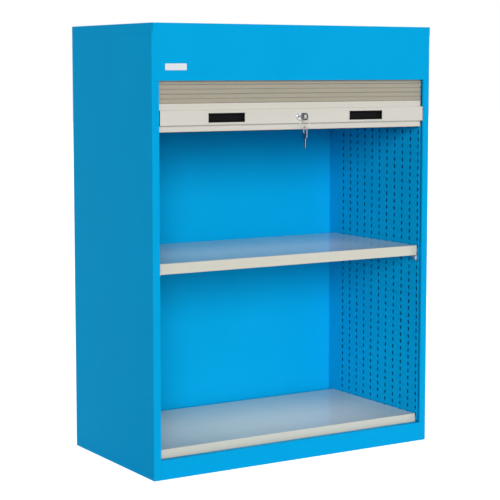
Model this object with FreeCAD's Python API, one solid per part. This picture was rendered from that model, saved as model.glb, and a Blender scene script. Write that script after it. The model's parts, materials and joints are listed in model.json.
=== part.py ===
import FreeCAD, Part
import math
import os

# Roll front tool cabinet: a steel cabinet with two shelves behind a slatted shutter that winds into its header.
# Millimetres, +Z up, front towards -Y, right towards +X. The origin is the centre of the cabinet on the floor.

# Driving dimensions
WIDTH = 1088.0
DEPTH = 572.0
HEIGHT = 1450.0
SHEET = 1.5
STILE_WIDTH = 25.0
STILE_RETURN = 8.0
BEND_RADIUS = 3.0
CAP_LIP = 30.0
HEADER_BOTTOM = 1270.0
PLINTH_HEIGHT = 64.0
PLINTH_RETURN = 22.0

# Perforated lining of the side walls
LINING_X = 521.0
LINING_FRONT = -261.3
SLOT_LENGTH = 14.0
SLOT_WIDTH = 10.0
SLOT_PITCH_Y = 45.0
SLOT_PITCH_Z = 25.0
SLOT_FIRST_Y = -255.5
SLOT_FIRST_Z = 87.5
SLOT_COLUMNS = 11
SLOT_ROWS = 47

# Shelves
SHELF_HALF = 519.5
SHELF_FRONT = -257.0
SHELF_BACK = 250.0
SHELF_LIP = 35.0
MID_SHELF_TOP = 691.5
BASE_SHELF_TOP = 91.5

# Shutter: where it stands in the photograph is its open stop
SLAT_HALF = 517.0
SLAT_FRONT = -272.0
SLAT_DEPTH = 7.0
SLAT_PITCH = 30.0
SLAT_GAP = 0.4
SLAT_SKIN = 1.2
RAIL_BOTTOM = 1109.0
RAIL_TOP = 1198.0
RAIL_RAISED_HALF = 516.0
RAIL_RAISED_LOW = 1129.0
RAIL_RAISED_HIGH = 1178.0
RAIL_BACK = -263.2
RAIL_WALL = 1.4
SHUTTER_TRAVEL = 1043.0
LEAD_SLATS = 8
BAND_COUNT = 6
BAND_SLATS = 5
BAND_DEPTH = 3.0
BAND_GAP = 0.4
SLIDER_HEIGHT = 12.0
SLIDER_END = 534.0
END_CAP_THICK = 2.5
SEAL_DROP = 1.8

# Finger pulls, lock, keys and lock bars
PULL_X = 274.0
PULL_LENGTH = 136.0
PULL_HEIGHT = 30.0
PULL_BEZEL = 5.0
LOCK_Z = 1152.0
LOCK_BEZEL_RADIUS = 11.5
LOCK_BODY_RADIUS = 9.0
LOCK_PLUG_RADIUS = 7.0
RUNNING_GAP = 0.05
CAM_PIN_REACH = 10.0
CAM_PIN_RADIUS = 2.0
CAM_THROW_ANGLE = 90.0
BAR_FRONT = -268.3
BAR_THICK = 3.0
BAR_HEIGHT = 13.0
BAR_END = 518.0
LOCK_PROUD = 9.0
KEY_THICK = 2.2
KEY_BLADE_HEIGHT = 8.0
KEY_BLADE_INSIDE = 18.0
BOW_LENGTH = 41.0
BOW_HEIGHT = 24.0
BOW_RIM = 5.0
BOW_CENTRE_Y = -323.0
RING_RADIUS = 18.0
RING_WIRE = 1.0
RING_Y = -326.0
SPARE_TIP_Z = 1048.0

# Guide tracks behind the stiles
TRACK_X = 523.0
TRACK_FRONT = -279.5
TRACK_BACK = -262.8
TRACK_BOTTOM = 66.0
TRACK_TOP = 1440.0
KEEPER_X = 525.0

# Roller in the header, with its brackets
ROLLER_Y = -140.0
ROLLER_Z = 1360.0
ROLLER_RADIUS = 25.0
ROLLER_HALF = 505.0
AXLE_RADIUS = 6.0
PLUG_DEPTH = 20.0
BRACKET_THICK = 3.0
BRACKET_HALF = 42.0
STUD_REACH = 32.0
STUD_RADIUS = 3.0
SPRING_START = -440.0
SPRING_END = -40.0
COLLAR_WIDTH = 12.0

# Places worked out from the driving dimensions
SIDE = WIDTH / 2
FRONT = -DEPTH / 2
BACK = DEPTH / 2
STILE_INNER = SIDE - STILE_WIDTH
CAP_SEAM = HEIGHT - CAP_LIP
LINING_BACK = BACK - SHEET - SHEET
SLAT_BACK = SLAT_FRONT + SLAT_DEPTH
BAND_BOTTOM = RAIL_TOP + SLAT_PITCH * (LEAD_SLATS - BAND_SLATS)
SLIDER_TOP = RAIL_TOP + SLAT_PITCH * LEAD_SLATS - (SLAT_PITCH - SLIDER_HEIGHT) / 2
TRACK_OUTER = SIDE - 2 * SHEET
BRACKET_INNER = SIDE - SHEET - BRACKET_THICK
LOCK_FRONT = FRONT - LOCK_PROUD
LOCK_REAR = BAR_FRONT - 3.0
KEY_BLADE_END = LOCK_FRONT + KEY_BLADE_INSIDE
BAR_BACK = BAR_FRONT + BAR_THICK
BAR_OFFSET = CAM_PIN_REACH * math.cos(math.radians(CAM_THROW_ANGLE / 2))
BAR_TRAVEL = 2 * CAM_PIN_REACH * math.sin(math.radians(CAM_THROW_ANGLE / 2))
RIM_CENTRE_Z = LOCK_Z - BOW_HEIGHT / 2 + BOW_RIM / 2
RING_DROP = 14.0
RING_CENTRE_Z = RIM_CENTRE_Z - RING_DROP

X_AXIS = FreeCAD.Vector(1, 0, 0)
Y_AXIS = FreeCAD.Vector(0, 1, 0)
Z_AXIS = FreeCAD.Vector(0, 0, 1)


def vec(x, y, z):
    return FreeCAD.Vector(x, y, z)


def block(x0, x1, y0, y1, z0, z1):
    """A box between two corners."""
    return Part.makeBox(x1 - x0, y1 - y0, z1 - z0, vec(x0, y0, z0))


def rod(radius, start, end):
    """A round bar from one point to another."""
    along = end - start
    return Part.makeCylinder(radius, along.Length, start, along)


def tube(outer, inner, start, end):
    """A pipe from one point to another."""
    return rod(outer, start, end).cut(rod(inner, start, end))


def outline(points, place, radius=0.0, rounded=()):
    """A closed wire through flat points, with an arc at each corner whose number is in rounded."""
    flat = [vec(a, b, 0) for a, b in points]
    count = len(flat)
    edges = []
    ends = []
    for i in range(count):
        before = flat[i - 1]
        corner = flat[i]
        after = flat[(i + 1) % count]
        if i in rounded:
            one = (before - corner).normalize()
            two = (after - corner).normalize()
            half = one.getAngle(two) / 2
            reach = radius / math.tan(half)
            middle = (one + two).normalize() * (radius / math.sin(half) - radius)
            first = corner + one * reach
            last = corner + two * reach
            edges.append(Part.Arc(place(first), place(corner + middle), place(last)).toShape())
            ends.append((first, last))
        else:
            ends.append((corner, corner))
    for i in range(count):
        start = ends[i][1]
        stop = ends[(i + 1) % count][0]
        edges.append(Part.LineSegment(place(start), place(stop)).toShape())
    return Part.Wire(Part.__sortEdges__(edges))


def along_x(points, x0, x1, radius=0.0, rounded=()):
    """A (y, z) profile drawn out along X."""
    wire = outline(points, lambda p: vec(x0, p.x, p.y), radius, rounded)
    return Part.Face(wire).extrude(X_AXIS * (x1 - x0))


def along_y(points, y0, y1):
    """An (x, z) profile drawn out along Y."""
    wire = outline(points, lambda p: vec(p.x, y0, p.y))
    return Part.Face(wire).extrude(Y_AXIS * (y1 - y0))


def along_z(points, z0, z1, radius=0.0, rounded=()):
    """An (x, y) profile drawn out along Z."""
    wire = outline(points, lambda p: vec(p.x, p.y, z0), radius, rounded)
    return Part.Face(wire).extrude(Z_AXIS * (z1 - z0))


def stadium(u0, u1, v0, v1, place):
    """A closed wire: a rectangle with two round ends along its longer way."""
    if u1 - u0 > v1 - v0:
        radius = (v1 - v0) / 2
        middle = (v0 + v1) / 2
        a, b = u0 + radius, u1 - radius
        lines = [((a, v0), (b, v0)), ((b, v1), (a, v1))]
        arcs = [((b, v0), (u1, middle), (b, v1)), ((a, v1), (u0, middle), (a, v0))]
    else:
        radius = (u1 - u0) / 2
        middle = (u0 + u1) / 2
        a, b = v0 + radius, v1 - radius
        lines = [((u1, a), (u1, b)), ((u0, b), (u0, a))]
        arcs = [((u1, b), (middle, v1), (u0, b)), ((u0, a), (middle, v0), (u1, a))]
    edges = [Part.LineSegment(place(*p), place(*q)).toShape() for p, q in lines]
    edges += [Part.Arc(place(*p), place(*q), place(*r)).toShape() for p, q, r in arcs]
    return Part.Wire(Part.__sortEdges__(edges))


def pierced(outer, holes):
    """A flat face with holes."""
    return Part.makeFace([outer] + holes, "Part::FaceMakerBullseye")


def mirrored(shape):
    """The same piece on the other side of the cabinet."""
    return shape.mirror(vec(0, 0, 0), X_AXIS)


def group(shapes):
    """Separate solids that share one node."""
    return Part.makeCompound(shapes)


def export(name, shape):
    """Writes one sub-part and prints what it holds."""
    solids = shape.Solids
    shape.exportStep("parts/" + name + ".step")
    box = shape.BoundBox
    print(f"{name}: {len(solids)} solids, volume {shape.Volume:.0f}, valid {shape.isValid()}, "
          f"x {box.XMin:.1f} {box.XMax:.1f} y {box.YMin:.1f} {box.YMax:.1f} z {box.ZMin:.1f} {box.ZMax:.1f}")


# Carcass sheets

def side_panel():
    """Right wall, bent at the front into the stile and at the back into a flange for the back panel."""
    flange = 18.0
    profile = [
        (STILE_INNER, FRONT + STILE_RETURN), (STILE_INNER, FRONT), (SIDE, FRONT), (SIDE, BACK),
        (SIDE - flange, BACK), (SIDE - flange, BACK - SHEET), (SIDE - SHEET, BACK - SHEET),
        (SIDE - SHEET, FRONT + SHEET), (STILE_INNER + SHEET, FRONT + SHEET),
        (STILE_INNER + SHEET, FRONT + STILE_RETURN),
    ]
    return along_z(profile, 0, CAP_SEAM, BEND_RADIUS, rounded=(2,))


def top_cap():
    """Lid with lips at both sides and the back, flush with the walls below its seam."""
    plate = block(-SIDE, SIDE, FRONT + 0.2, BACK, HEIGHT - SHEET, HEIGHT)
    back_lip = block(-SIDE, SIDE, BACK - SHEET, BACK, CAP_SEAM, HEIGHT - SHEET)
    side_lip = block(SIDE - SHEET, SIDE, FRONT + 3.0, BACK - SHEET, CAP_SEAM, HEIGHT - SHEET)
    return plate.fuse([back_lip, side_lip, mirrored(side_lip)]).removeSplitter()


def header_fascia():
    """Front sheet of the header, laid over the stiles, with a hem at the bottom and a tab under the lid."""
    proud = 1.2
    half = 538.0
    cap_half = 541.5
    hem = 9.0
    hem_half = STILE_INNER - 1.0
    tab = 14.0
    sheet = block(-half, half, FRONT - proud, FRONT, HEADER_BOTTOM, HEIGHT)
    ears = block(-cap_half, cap_half, FRONT - proud, FRONT, CAP_SEAM, HEIGHT)
    bottom = block(-hem_half, hem_half, FRONT, FRONT + hem, HEADER_BOTTOM, HEADER_BOTTOM + proud)
    upturn = block(-hem_half, hem_half, FRONT + hem - proud, FRONT + hem,
                   HEADER_BOTTOM + proud, HEADER_BOTTOM + 6.0)
    top = block(-hem_half, hem_half, FRONT, FRONT + tab, HEIGHT - SHEET - proud, HEIGHT - SHEET)
    return sheet.fuse([ears, bottom, upturn, top]).removeSplitter()


def back_panel():
    """Flat sheet held inside the back flanges of the walls."""
    return block(-SIDE + 3.0, SIDE - 3.0, BACK - 2 * SHEET, BACK - SHEET, 10.0, HEIGHT - SHEET - 1.0)


def front_plinth():
    """Strip between the stiles at the floor, with a return on top that the shutter closes onto."""
    half = STILE_INNER - 0.3
    face = block(-half, half, FRONT, FRONT + SHEET, 0, PLINTH_HEIGHT)
    top = block(-half, half, FRONT, FRONT + PLINTH_RETURN, PLINTH_HEIGHT - SHEET, PLINTH_HEIGHT)
    foot = block(-half, half, FRONT, FRONT + PLINTH_RETURN, 0, SHEET)
    return face.fuse([top, foot]).removeSplitter()


def base_runner():
    """Angle at the foot of the right wall that carries the base shelf."""
    foot_top = BASE_SHELF_TOP - SHELF_LIP
    upright = block(SIDE - 2 * SHEET, SIDE - SHEET, -258.0, 280.0, 0, foot_top)
    ledge = block(500.0, SIDE - 2 * SHEET, -258.0, 280.0, foot_top - SHEET, foot_top)
    return upright.fuse(ledge).removeSplitter()


def base_rear_rail():
    """Channel along the floor at the back, between the runners."""
    half = 499.5
    foot_top = BASE_SHELF_TOP - SHELF_LIP
    web_back = 262.0 + SHEET
    flange_back = LINING_BACK - 0.5
    web = block(-half, half, 262.0, web_back, 0, foot_top)
    low = block(-half, half, web_back, flange_back, 0, SHEET)
    high = block(-half, half, web_back, flange_back, foot_top - SHEET, foot_top)
    return web.fuse([low, high]).removeSplitter()


def base_middle_runner():
    """Channel from front to back under the middle of the base shelf, standing on the floor."""
    top = BASE_SHELF_TOP - SHEET
    half = 20.0
    flange = half - 10.0
    web = half - SHEET
    profile = [
        (-half, 0), (half, 0), (half, top), (flange, top), (flange, top - SHEET), (web, top - SHEET),
        (web, SHEET), (-web, SHEET), (-web, top - SHEET), (-flange, top - SHEET), (-flange, top), (-half, top),
    ]
    return along_y(profile, SHELF_FRONT + 17.0, SHELF_BACK - 17.0)


# Perforated lining and shutter guides

def slot_columns():
    return [SLOT_FIRST_Y + SLOT_PITCH_Y * i for i in range(SLOT_COLUMNS)]


def slot_rows():
    return [SLOT_FIRST_Z + SLOT_PITCH_Z * i for i in range(SLOT_ROWS)]


def perforated_panel():
    """Inner lining of the right wall: a sheet of upright slots, with a flange to the wall at each end."""
    low = TRACK_BOTTOM
    high = HEADER_BOTTOM + 1.0
    place = lambda y, z: vec(LINING_X, y, z)
    corners = [(LINING_FRONT, low), (LINING_BACK, low), (LINING_BACK, high), (LINING_FRONT, high)]
    outer = Part.makePolygon([place(y, z) for y, z in corners + corners[:1]])
    slots = []
    for y in slot_columns():
        for z in slot_rows():
            slots.append(stadium(y - SLOT_WIDTH / 2, y + SLOT_WIDTH / 2,
                                 z - SLOT_LENGTH / 2, z + SLOT_LENGTH / 2, place))
    sheet = pierced(outer, slots).extrude(X_AXIS * SHEET)
    front = block(LINING_X + SHEET, SIDE - SHEET, LINING_FRONT, LINING_FRONT + SHEET, low, high)
    back = block(LINING_X + SHEET, SIDE - SHEET, LINING_BACK - SHEET, LINING_BACK, low, high)
    return sheet.fuse([front, back])


def guide_track():
    """Upright channel behind the right stile, open towards the shutter."""
    profile = [
        (TRACK_X, TRACK_FRONT), (TRACK_OUTER + SHEET, TRACK_FRONT), (TRACK_OUTER + SHEET, TRACK_BACK),
        (TRACK_X, TRACK_BACK), (TRACK_X, TRACK_BACK - SHEET), (TRACK_OUTER, TRACK_BACK - SHEET),
        (TRACK_OUTER, TRACK_FRONT + SHEET), (TRACK_X, TRACK_FRONT + SHEET),
    ]
    return along_z(profile, TRACK_BOTTOM, TRACK_TOP)


def keeper():
    """Striker plate in the right guide track, with a notch for the lock bar's end when the shutter is shut."""
    x0 = KEEPER_X
    x1 = KEEPER_X + SHEET
    margin = 1.0
    plate = block(x0, x1, TRACK_FRONT + SHEET, TRACK_BACK - SHEET, 96.0, 129.0)
    bar_low = LOCK_Z + BAR_OFFSET - BAR_HEIGHT / 2 - SHUTTER_TRAVEL
    notch = block(x0 - 1, x1 + 1, BAR_FRONT - margin, TRACK_BACK,
                  bar_low - margin, bar_low + BAR_HEIGHT + margin)
    return plate.cut(notch)


def left_keeper():
    """The left plate: its lock bar is the lower one of the two."""
    shift = vec(0, 0, -2 * BAR_OFFSET)
    plate = mirrored(keeper())
    plate.translate(shift)
    return plate


def open_stop():
    """Rubber block in the guide track that the top slider meets when the shutter is fully up."""
    return block(TRACK_X + 1.0, TRACK_OUTER, TRACK_FRONT + 2.0, TRACK_BACK - 2.0, SLIDER_TOP + 0.2, TRACK_TOP)


# Shelves

def shelf(top):
    """Folded pan: a flat top with a lip on all four sides and a hem under the front and back lips."""
    hem = 14.0
    bottom = top - SHELF_LIP
    body = block(-SHELF_HALF, SHELF_HALF, SHELF_FRONT, SHELF_BACK, bottom, top)
    edges = [e for e in body.Edges if e.BoundBox.ZMin > top - 0.1 and e.BoundBox.YLength < 0.1]
    body = body.makeFillet(2.5, edges)
    lower = [e for e in body.Edges if e.BoundBox.ZMax < bottom + 0.1 and e.BoundBox.YLength < 0.1
             and e.BoundBox.XLength > 100 and e.BoundBox.YMax < SHELF_FRONT + 1]
    body = body.makeFillet(2.0, lower)
    inside = block(-SHELF_HALF + SHEET, SHELF_HALF - SHEET, SHELF_FRONT + SHEET, SHELF_BACK - SHEET,
                   bottom + SHEET, top - SHEET)
    mouth = block(-SHELF_HALF + SHEET, SHELF_HALF - SHEET, SHELF_FRONT + hem, SHELF_BACK - hem,
                  bottom - 1, bottom + SHEET + 1)
    return body.cut(inside.fuse(mouth))


def shelf_stiffener():
    """Hat channel glued under the middle shelf from side to side."""
    top = MID_SHELF_TOP - SHEET
    half = SHELF_HALF - SHEET - 2.0
    profile = [
        (-30, top), (-30, top - SHEET), (-14, top - SHEET), (-14, top - 24), (14, top - 24), (14, top - SHEET),
        (30, top - SHEET), (30, top), (14 - SHEET, top), (14 - SHEET, top - 24 + SHEET),
        (-14 + SHEET, top - 24 + SHEET), (-14 + SHEET, top),
    ]
    return along_x(profile, -half, half)


def shelf_clip(slot_y, y):
    """Bracket hooked into a slot of the right lining: an upright, a ledge under the shelf and a gusset."""
    half = 6.0
    thick = 1.4
    leg = 20.0
    top = MID_SHELF_TOP - SHELF_LIP
    slot_z = SLOT_FIRST_Z + SLOT_PITCH_Z * round((top - 14.0 - SLOT_FIRST_Z) / SLOT_PITCH_Z)
    upright = block(LINING_X - thick, LINING_X, y - half, y + half, top - leg, top)
    ledge = block(LINING_X - leg, LINING_X - thick, y - half, y + half, top - thick, top)
    triangle = [(LINING_X - thick, top - thick), (LINING_X - thick, top - leg), (LINING_X - leg, top - thick)]
    gusset = along_y(triangle, y - 0.8, y + 0.8)
    hook = block(LINING_X, LINING_X + 4.0, slot_y - 0.5, slot_y + 2.5, slot_z - 4.0, slot_z + 5.0)
    return upright.fuse([ledge, gusset, hook]).removeSplitter()


# Roller in the header

def header_floor():
    """Sheet that closes the header over the shelves, with a slit in front for the shutter."""
    floor = block(-540.0, 540.0, -200.0, LINING_BACK, HEADER_BOTTOM + 1.0, HEADER_BOTTOM + 1.0 + SHEET)
    lip = block(-540.0, 540.0, -200.0, -200.0 + SHEET, HEADER_BOTTOM + 1.0 + SHEET, HEADER_BOTTOM + 16.0)
    return floor.fuse(lip).removeSplitter()


def roller_bracket():
    """Plate on the right wall with the socket that holds the roller's axle."""
    plate = block(BRACKET_INNER, SIDE - SHEET, ROLLER_Y - BRACKET_HALF, ROLLER_Y + BRACKET_HALF,
                  ROLLER_Z - BRACKET_HALF, ROLLER_Z + BRACKET_HALF)
    upright = [e for e in plate.Edges if e.BoundBox.XLength > 1]
    plate = plate.makeFillet(8.0, upright)
    socket = rod(14.0, vec(BRACKET_INNER - 12.0, ROLLER_Y, ROLLER_Z), vec(BRACKET_INNER, ROLLER_Y, ROLLER_Z))
    bore = rod(AXLE_RADIUS, vec(BRACKET_INNER - 20.0, ROLLER_Y, ROLLER_Z), vec(SIDE, ROLLER_Y, ROLLER_Z))
    plate = plate.fuse(socket).cut(bore)
    for y, z in stud_places():
        plate = plate.cut(rod(STUD_RADIUS + 0.2, vec(BRACKET_INNER - 1, y, z), vec(SIDE, y, z)))
    return plate


def stud_places():
    """Where the four studs of a bracket stand."""
    return [(ROLLER_Y + a * STUD_REACH, ROLLER_Z + b * STUD_REACH) for a in (-1, 1) for b in (-1, 1)]


def bracket_nut(y, z):
    """Hexagon nut on its welded stud, on the right wall."""
    across = 10.0
    reach = across / math.sqrt(3)
    angles = [math.radians(60 * i) for i in range(6)]
    corners = [(y + reach * math.cos(a), z + reach * math.sin(a)) for a in angles]
    nut = along_x(corners, BRACKET_INNER - 5.0, BRACKET_INNER)
    stud = rod(STUD_RADIUS, vec(BRACKET_INNER - 8.0, y, z), vec(SIDE - SHEET, y, z))
    return nut.fuse(stud)


def roller_tube():
    """Steel tube that the shutter is wound on."""
    return tube(ROLLER_RADIUS, ROLLER_RADIUS - SHEET, vec(-ROLLER_HALF, ROLLER_Y, ROLLER_Z),
                vec(ROLLER_HALF, ROLLER_Y, ROLLER_Z))


def roller_plug():
    """Nylon bearing in the right end of the tube, turning on the axle."""
    inner = vec(ROLLER_HALF - PLUG_DEPTH, ROLLER_Y, ROLLER_Z)
    outer = vec(ROLLER_HALF, ROLLER_Y, ROLLER_Z)
    rim = vec(ROLLER_HALF + 3.0, ROLLER_Y, ROLLER_Z)
    plug = rod(ROLLER_RADIUS - SHEET, inner, outer).fuse(rod(ROLLER_RADIUS, outer, rim))
    return plug.cut(rod(AXLE_RADIUS + RUNNING_GAP, inner - X_AXIS, rim + X_AXIS))


def wound_slats():
    """The last turn of the shutter, which stays on the roller: six slats in a hexagon."""
    inner = ROLLER_RADIUS + 1.0
    half = ROLLER_RADIUS * math.tan(math.radians(30)) - 0.2
    slats = []
    for i in range(6):
        slat = block(-SLAT_HALF + 12, SLAT_HALF - 12, ROLLER_Y - half, ROLLER_Y + half,
                     ROLLER_Z + ROLLER_RADIUS, ROLLER_Z + inner + SLAT_DEPTH - 1.0)
        groove = rod(ROLLER_RADIUS, vec(-SLAT_HALF, ROLLER_Y, ROLLER_Z), vec(SLAT_HALF, ROLLER_Y, ROLLER_Z))
        slat = slat.cut(groove)
        slat.rotate(vec(0, ROLLER_Y, ROLLER_Z), X_AXIS, 60 * i)
        slats.append(slat)
    return group(slats)


def torsion_spring():
    """The space of the close-wound spring that balances the shutter, inside the tube around the axle."""
    return tube(12.0, 9.0, vec(SPRING_START, ROLLER_Y, ROLLER_Z), vec(SPRING_END, ROLLER_Y, ROLLER_Z))


def spring_anchor():
    """Collars on the axle that hold the two ends of the spring."""
    collars = []
    for start in (SPRING_START - COLLAR_WIDTH, SPRING_END):
        collars.append(tube(14.0, AXLE_RADIUS, vec(start, ROLLER_Y, ROLLER_Z),
                            vec(start + COLLAR_WIDTH, ROLLER_Y, ROLLER_Z)))
    return group(collars)


# Shutter

def slat(bottom, face, depth):
    """One slat: a thin front with a groove along its middle, and a hook flange along each edge."""
    back = face + depth
    low = bottom + SLAT_GAP / 2
    high = bottom + SLAT_PITCH - SLAT_GAP / 2
    middle = bottom + SLAT_PITCH / 2
    ease = 1.6
    dip = 0.9
    skin = SLAT_SKIN
    profile = [
        (back, low), (face + ease, low), (face, low + 2.2), (face, middle - 2.0), (face + dip, middle),
        (face, middle + 2.0), (face, high - 2.2), (face + ease, high), (back, high), (back, high - skin),
        (face + ease + skin, high - skin), (face + skin, high - 3.0), (face + skin, middle + 2.0),
        (face + skin + dip, middle), (face + skin, middle - 2.0), (face + skin, low + 3.0),
        (face + ease + skin, low + skin), (back, low + skin),
    ]
    return along_x(profile, -SLAT_HALF, SLAT_HALF)


def lead_slats():
    """The slats that hang above the bottom rail in the photograph and run on behind the header."""
    return group([slat(RAIL_TOP + SLAT_PITCH * i, SLAT_FRONT, SLAT_DEPTH) for i in range(LEAD_SLATS)])


def curtain_band(number):
    """Five thinner slats, each band in its own plane behind the one before, so that they pass in the header."""
    face = SLAT_BACK + BAND_GAP + (BAND_DEPTH + BAND_GAP) * (number - 1)
    return group([slat(BAND_BOTTOM + SLAT_PITCH * i, face, BAND_DEPTH) for i in range(BAND_SLATS)])


def slat_sliders():
    """Dark plastic end pieces of the lead slats, which run in the guide tracks."""
    pieces = []
    for i in range(LEAD_SLATS):
        low = RAIL_TOP + SLAT_PITCH * i + (SLAT_PITCH - SLIDER_HEIGHT) / 2
        right = block(SLAT_HALF, SLIDER_END, SLAT_FRONT - 4.0, SLAT_BACK - 1.0, low, low + SLIDER_HEIGHT)
        pieces += [right, mirrored(right)]
    return group(pieces)


def bottom_rail():
    """Hollow aluminium rail: a raised middle flush with the stiles, and a thinner strip above and below it."""
    wall = RAIL_WALL
    step = FRONT
    lip = 4.0
    body = along_x([
        (SLAT_FRONT, RAIL_BOTTOM), (RAIL_BACK, RAIL_BOTTOM), (RAIL_BACK, RAIL_TOP), (SLAT_FRONT, RAIL_TOP),
    ], -SLAT_HALF, SLAT_HALF, 0.8, rounded=(0, 3))
    raised = along_x([
        (step, RAIL_RAISED_LOW), (SLAT_FRONT + 1, RAIL_RAISED_LOW), (SLAT_FRONT + 1, RAIL_RAISED_HIGH),
        (step, RAIL_RAISED_HIGH),
    ], -RAIL_RAISED_HALF, RAIL_RAISED_HALF, 2.5, rounded=(0, 3))
    bead = along_x([
        (SLAT_FRONT - 1.2, RAIL_BOTTOM), (SLAT_FRONT + 1, RAIL_BOTTOM), (SLAT_FRONT + 1, RAIL_BOTTOM + lip),
        (SLAT_FRONT - 1.2, RAIL_BOTTOM + lip),
    ], -SLAT_HALF, SLAT_HALF)
    inner_body = block(-SLAT_HALF - 1, SLAT_HALF + 1, SLAT_FRONT + wall, RAIL_BACK - wall,
                       RAIL_BOTTOM + wall, RAIL_TOP - wall)
    inner_raised = block(-RAIL_RAISED_HALF - 1, RAIL_RAISED_HALF + 1, step + wall, SLAT_FRONT + wall + 1,
                         RAIL_RAISED_LOW + wall, RAIL_RAISED_HIGH - wall)
    rail = body.fuse([raised, bead]).removeSplitter()
    rail = rail.cut(inner_body.fuse(inner_raised))
    for side in (-1, 1):
        x = side * PULL_X
        rail = rail.cut(block(x - PULL_LENGTH / 2, x + PULL_LENGTH / 2, step - 2, step + 4,
                              LOCK_Z - PULL_HEIGHT / 2, LOCK_Z + PULL_HEIGHT / 2))
    lock_hole = rod(LOCK_BODY_RADIUS, vec(0, step - 2, LOCK_Z), vec(0, step + 4, LOCK_Z))
    return rail.cut(lock_hole)


def rail_end_cap():
    """Cover of the rail's right end: a plate with a window that the lock bar comes out of."""
    thick = END_CAP_THICK
    plate = along_x([
        (SLAT_FRONT, RAIL_BOTTOM + 1), (RAIL_BACK, RAIL_BOTTOM + 1), (RAIL_BACK, RAIL_TOP - 1),
        (SLAT_FRONT, RAIL_TOP - 1),
    ], SLAT_HALF, SLAT_HALF + thick)
    window = block(SLAT_HALF - 1, SLAT_HALF + thick + 1, BAR_FRONT - 0.6, BAR_BACK + 0.6,
                   LOCK_Z - BAR_OFFSET - BAR_HEIGHT / 2 - 0.6, LOCK_Z + BAR_OFFSET + BAR_HEIGHT / 2 + 0.6)
    cheek = block(RAIL_RAISED_HALF, SLAT_HALF, FRONT + 1.0, SLAT_FRONT - 0.1,
                  RAIL_RAISED_LOW + 1.0, RAIL_RAISED_HIGH - 1.0)
    bridge = block(SLAT_HALF, SLAT_HALF + 1.0, SLAT_FRONT - 3.0, SLAT_FRONT,
                   RAIL_RAISED_LOW + 1.0, RAIL_RAISED_HIGH - 1.0)
    return plate.cut(window).fuse([cheek, bridge]).removeSplitter()


def rail_seal():
    """Rubber strip let into the rail's foot, which meets the plinth."""
    return block(-SLAT_HALF + 1, SLAT_HALF - 1, -269.0, -266.4, RAIL_BOTTOM - SEAL_DROP, RAIL_BOTTOM)


def pull_cup(x):
    """Black finger recess in the rail's face, with an inward lip along its top."""
    wall = 1.5
    depth = 15.0
    length = PULL_LENGTH / 2
    height = PULL_HEIGHT / 2
    front = FRONT
    outer = block(x - length, x + length, front, front + depth, LOCK_Z - height, LOCK_Z + height)
    inner = block(x - length + wall, x + length - wall, front - 1, front + depth - wall,
                  LOCK_Z - height + wall, LOCK_Z + height - wall)
    behind = [e for e in inner.Edges if e.BoundBox.YMin > front + depth - wall - 0.1]
    inner = inner.makeFillet(4.0, behind)
    grip = block(x - length + wall, x + length - wall, front, front + 1.5,
                 LOCK_Z + height - wall - 3.0, LOCK_Z + height - wall)
    return outer.cut(inner).fuse(grip).removeSplitter()


def pull_bezel(x):
    """Thin frame that stands round the finger recess."""
    length = PULL_LENGTH / 2
    height = PULL_HEIGHT / 2
    front = FRONT
    place = lambda a, b: vec(a, front - 0.8, b)
    outer = rounded_frame(x, length + PULL_BEZEL, height + PULL_BEZEL, 4.0, place)
    inner = rounded_frame(x, length, height, 1.0, place)
    return pierced(outer, [inner]).extrude(Y_AXIS * 0.8)


def rounded_frame(x, length, height, radius, place):
    """A closed wire: a rectangle with rounded corners, centred at the lock's height."""
    points = [(x - length, LOCK_Z - height), (x + length, LOCK_Z - height),
              (x + length, LOCK_Z + height), (x - length, LOCK_Z + height)]
    return outline(points, lambda p: place(p.x, p.y), radius, rounded=(0, 1, 2, 3))


# Lock, keys and lock bars

def lock_axis(y):
    return vec(0, y, LOCK_Z)


def lock_housing():
    """Chromed cylinder through the rail's face, with a chamfered collar in front."""
    collar = rod(LOCK_BEZEL_RADIUS, lock_axis(LOCK_FRONT), lock_axis(FRONT))
    collar = collar.makeChamfer(1.8, [e for e in collar.Edges if e.BoundBox.YMax < LOCK_FRONT + 0.1])
    body = rod(LOCK_BODY_RADIUS, lock_axis(FRONT), lock_axis(LOCK_REAR))
    bore = rod(LOCK_PLUG_RADIUS + RUNNING_GAP, lock_axis(LOCK_FRONT - 1), lock_axis(LOCK_REAR + 1))
    return collar.fuse(body).cut(bore)


def lock_nut():
    """Ring nut that clamps the lock behind the rail's face."""
    start = FRONT + RAIL_WALL
    return tube(13.0, LOCK_BODY_RADIUS, lock_axis(start), lock_axis(start + 3.0))


def lock_barrel():
    """Turning plug with the key's slot."""
    plug = rod(LOCK_PLUG_RADIUS, lock_axis(LOCK_FRONT + 0.6), lock_axis(LOCK_REAR))
    slot = block(-KEY_THICK / 2, KEY_THICK / 2, LOCK_FRONT, KEY_BLADE_END,
                 LOCK_Z - KEY_BLADE_HEIGHT / 2, LOCK_Z + KEY_BLADE_HEIGHT / 2)
    return plug.cut(slot)


def lock_cam():
    """Disc behind the plug with two pins, one for each lock bar."""
    thick = 2.4
    disc = rod(13.0, lock_axis(LOCK_REAR), lock_axis(LOCK_REAR + thick))
    pins = []
    for sign in (1, -1):
        place = vec(-sign * BAR_OFFSET, LOCK_REAR + thick, LOCK_Z + sign * BAR_OFFSET)
        pins.append(rod(CAM_PIN_RADIUS, place, place + Y_AXIS * (BAR_THICK + 0.4)))
    return disc.fuse(pins)


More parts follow.
